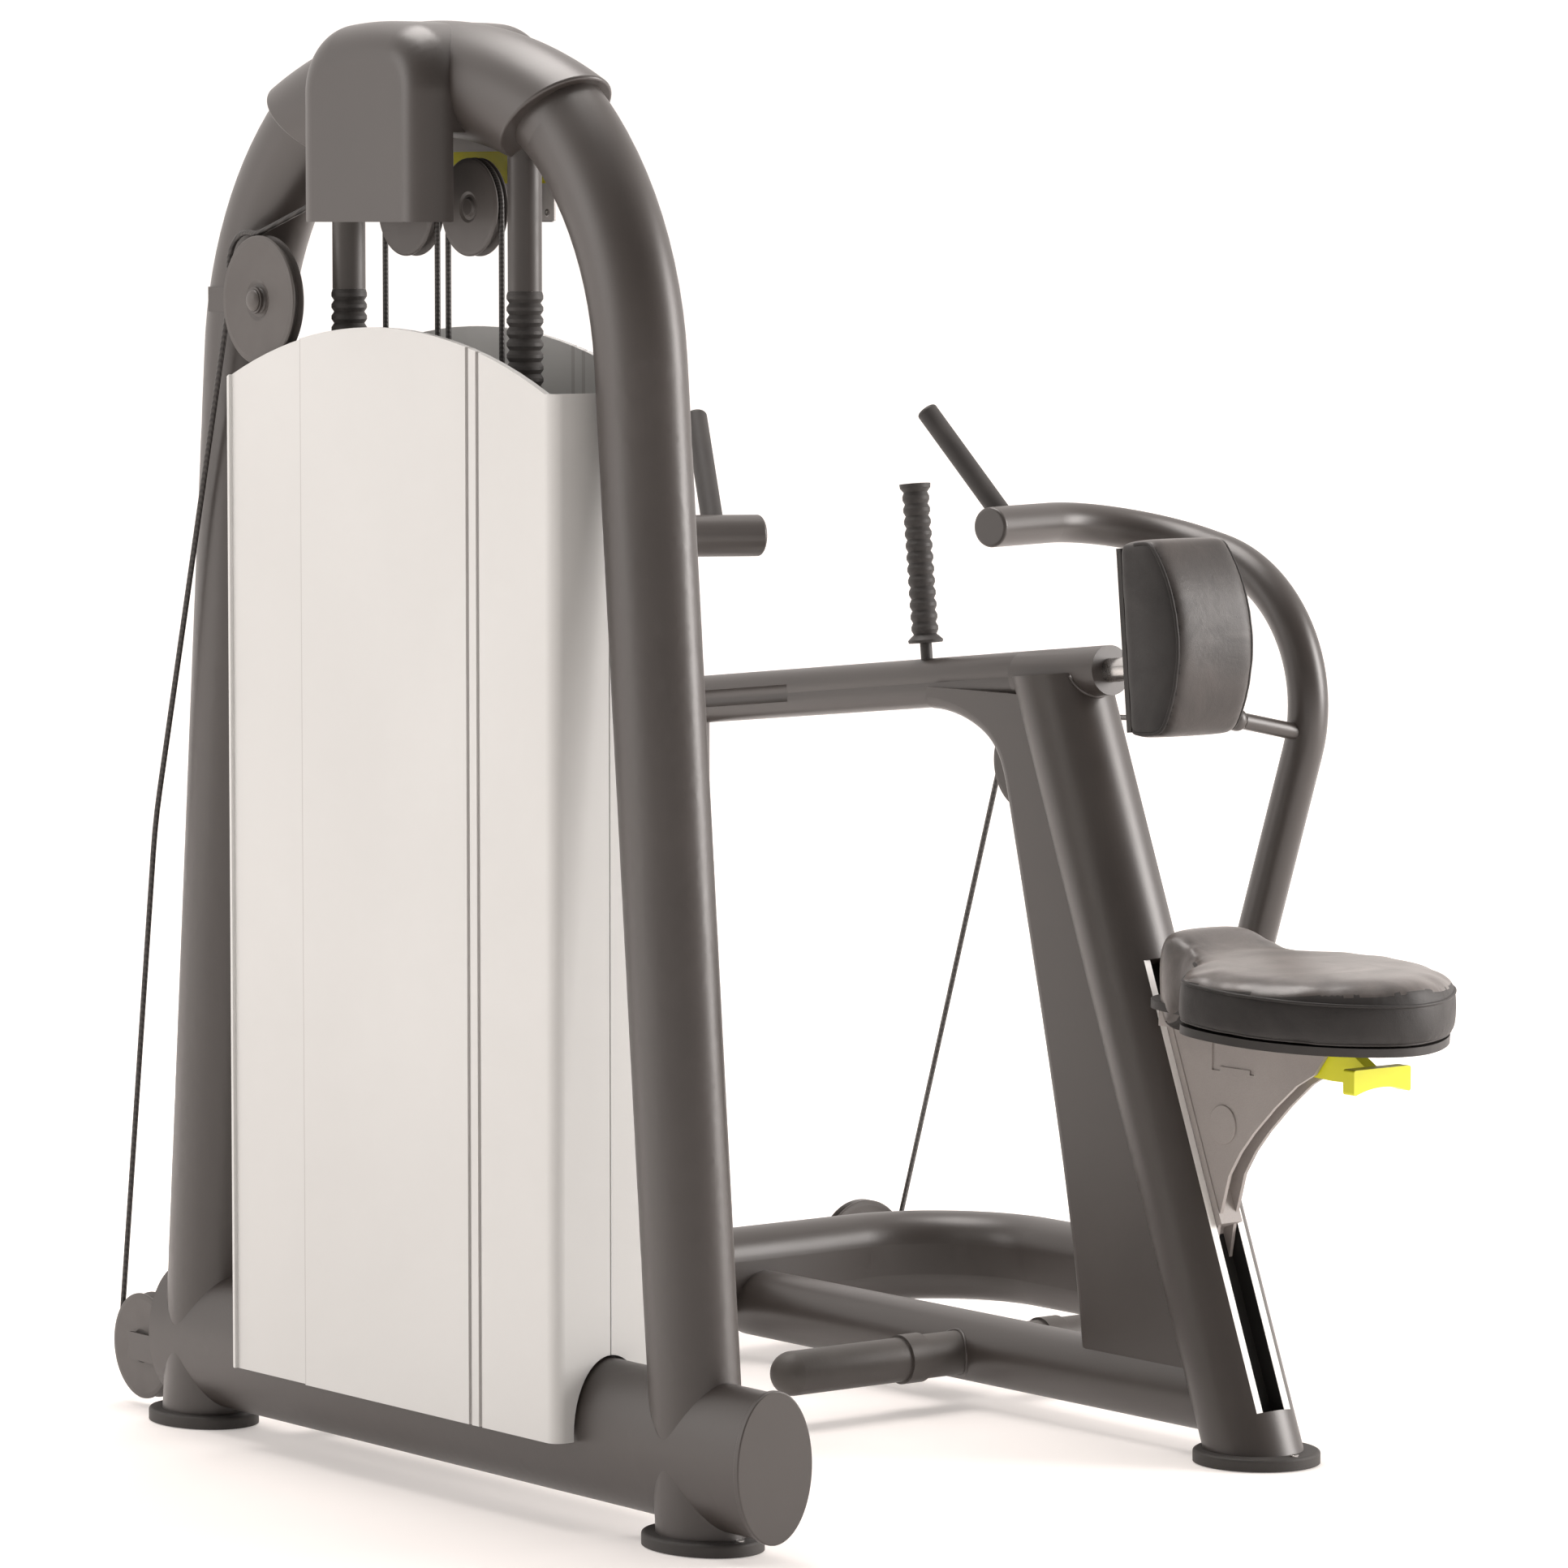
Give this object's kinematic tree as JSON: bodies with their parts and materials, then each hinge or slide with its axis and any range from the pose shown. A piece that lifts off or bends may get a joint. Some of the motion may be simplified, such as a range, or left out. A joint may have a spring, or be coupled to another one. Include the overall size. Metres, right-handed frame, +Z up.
{
  "type": "seated pulldown and row machine",
  "caption": "Selectorised seated pulling machine: arched weight tower with shrouds and pulleys, leaning column with chest pad and sliding saddle seat, and two curved swinging arms.",
  "frame": {"origin": "underside of the front foot plate, under the middle of the leaning column, on the floor", "axes": "+Z up; +Y away from the user, towards the back of the machine and along the tower; +X to the side away from the weight tower, which stands at -X"},
  "size_m": [1.3791, 1.4062, 1.604],
  "materials": {
    "frame_paint": "satin warm dark grey powder coat",
    "arm_paint": "satin",
    "foot_rubber": "matt",
    "grip_rubber": "matt ribbed",
    "sleeve_plastic": "satin",
    "steel": "polished",
    "rail_white": "smooth",
    "cast_iron": "painted",
    "shroud_white": "satin",
    "pulley_plastic": "moulded",
    "cable_black": "sheathed",
    "panel": "printed panel without lettering",
    "leather": "soft upholstery",
    "backing_plastic": "moulded",
    "bracket_grey": "fine sand texture",
    "lever_yellow": "smooth"
  },
  "bodies": {
    "frame": {"arm_pivots": "frame_paint", "column": "frame_paint", "column_axle": "frame_paint", "cross_tube_cap": "frame_paint", "drum_fork": "frame_paint", "floor_bow": "frame_paint", "floor_cable": "cable_black", "floor_pulley_axle": "frame_paint", "floor_spine": "frame_paint", "foot_pegs": "foot_rubber", "foot_plates": "foot_rubber", "grip_post": "grip_rubber", "guide_rods": "steel", "hood_panel": "panel", "rear_post": "frame_paint", "rod_bellows": "grip_rubber", "rod_sleeves": "sleeve_plastic", "seat_rails": "rail_white", "shoulder_cable": "cable_black", "shroud_far": "shroud_white", "shroud_near": "shroud_white", "stack_plates_low": "cast_iron", "top_beam": "frame_paint", "top_cable_loops": "cable_black", "tower_axles": "frame_paint", "tower_bridge": "frame_paint", "tower_cross_tube": "frame_paint", "tower_hood": "frame_paint", "tower_link": "frame_paint", "tower_uprights": "frame_paint"},
    "arm_far": {"arm_far": "arm_paint", "grip_far": "grip_rubber", "arm_cable": "cable_black"},
    "arm_near": {"arm_near": "arm_paint", "grip_near": "grip_rubber"},
    "stack": {"stack_plates_high": "cast_iron", "selector_stem": "steel", "lift_cables": "cable_black"},
    "pin": {"selector_pin": "steel"},
    "pulley_a": {"top_pulley_1": "pulley_plastic"},
    "pulley_b": {"top_pulley_2": "pulley_plastic"},
    "pulley_shoulder": {"shoulder_pulley": "pulley_plastic"},
    "pulley_drum": {"drum_pulley": "pulley_plastic"},
    "pulley_column": {"column_pulley": "pulley_plastic"},
    "pulley_floor": {"floor_pulley": "pulley_plastic"},
    "seat": {"seat_carriage": "bracket_grey", "seat_base": "backing_plastic", "seat_cushion": "leather"},
    "lever": {"seat_lever": "lever_yellow"},
    "pad": {"pad_tube": "steel", "pad_backing": "backing_plastic", "chest_pad": "leather"}
  },
  "joints": [
    {"name": "arm_far_swing", "type": "hinge", "parent": "frame", "child": "arm_far", "pos_m": [0.443, 0.655, 0.1], "axis": [1, 0, 0], "range_deg": [0, 24]},
    {"name": "arm_near_swing", "type": "hinge", "parent": "frame", "child": "arm_near", "pos_m": [-0.443, 0.655, 0.1], "axis": [1, 0, 0], "range_deg": [-1, 25]},
    {"name": "stack_lift", "type": "slide", "parent": "frame", "child": "stack", "axis": [0, 0, 1], "range_m": [0, 0.215], "deforming": ["lift_cables"]},
    {"name": "pin_pull", "type": "slide", "parent": "stack", "child": "pin", "axis": [1, 0, 0], "range_m": [0, 0.055]},
    {"name": "seat_height", "type": "slide", "parent": "frame", "child": "seat", "axis": [0, 0.3714, 0.9285], "range_m": [-0.165, 0.05]},
    {"name": "lever_lift", "type": "hinge", "parent": "seat", "child": "lever", "pos_m": [0, -0.082, 0.456], "axis": [-1, 0, 0], "range_deg": [0, 5], "stiffness_Nm_per_rad": 4, "springref_deg": -17.19},
    {"name": "pad_reach", "type": "slide", "parent": "frame", "child": "pad", "axis": [0, -0.9952, 0.0979], "range_m": [-0.01, 0.06]},
    {"name": "pulley_a_spin", "type": "hinge", "parent": "frame", "child": "pulley_a", "pos_m": [-0.79, 0.391, 1.402], "axis": [1, 0, 0], "range_deg": [-2, 244]},
    {"name": "pulley_b_spin", "type": "hinge", "parent": "frame", "child": "pulley_b", "pos_m": [-0.79, 0.512, 1.402], "axis": [1, 0, 0], "range_deg": [-244, 2]},
    {"name": "shoulder_spin", "type": "hinge", "parent": "frame", "child": "pulley_shoulder", "pos_m": [-0.8465, 0.721, 1.299], "axis": [1, 0, 0], "range_deg": [-2, 177]},
    {"name": "drum_spin", "type": "hinge", "parent": "frame", "child": "pulley_drum", "pos_m": [-0.79, 1.064, 0.072], "axis": [1, 0, 0], "range_deg": [-2, 206.9]},
    {"name": "column_pulley_spin", "type": "hinge", "parent": "frame", "child": "pulley_column", "pos_m": [0, 0.404, 0.762], "axis": [1, 0, 0], "range_deg": [-2, 230.3]},
    {"name": "floor_pulley_spin", "type": "hinge", "parent": "frame", "child": "pulley_floor", "pos_m": [0.322, 1.1238, 0.076], "axis": [0, 1, 0], "range_deg": [-2, 200.2]}
  ],
  "couplings": [
    {"joint": "arm_near_swing", "follows": "arm_far_swing", "ratio": 1},
    {"joint": "stack_lift", "follows": "arm_far_swing", "m_per_rad": 0.49},
    {"joint": "pulley_a_spin", "follows": "arm_far_swing", "ratio": 9.761},
    {"joint": "pulley_b_spin", "follows": "arm_far_swing", "ratio": -9.761},
    {"joint": "shoulder_spin", "follows": "arm_far_swing", "ratio": 7.0809},
    {"joint": "drum_spin", "follows": "arm_far_swing", "ratio": 8.277},
    {"joint": "column_pulley_spin", "follows": "arm_far_swing", "ratio": 9.2105},
    {"joint": "floor_pulley_spin", "follows": "arm_far_swing", "ratio": 8.0065}
  ]
}
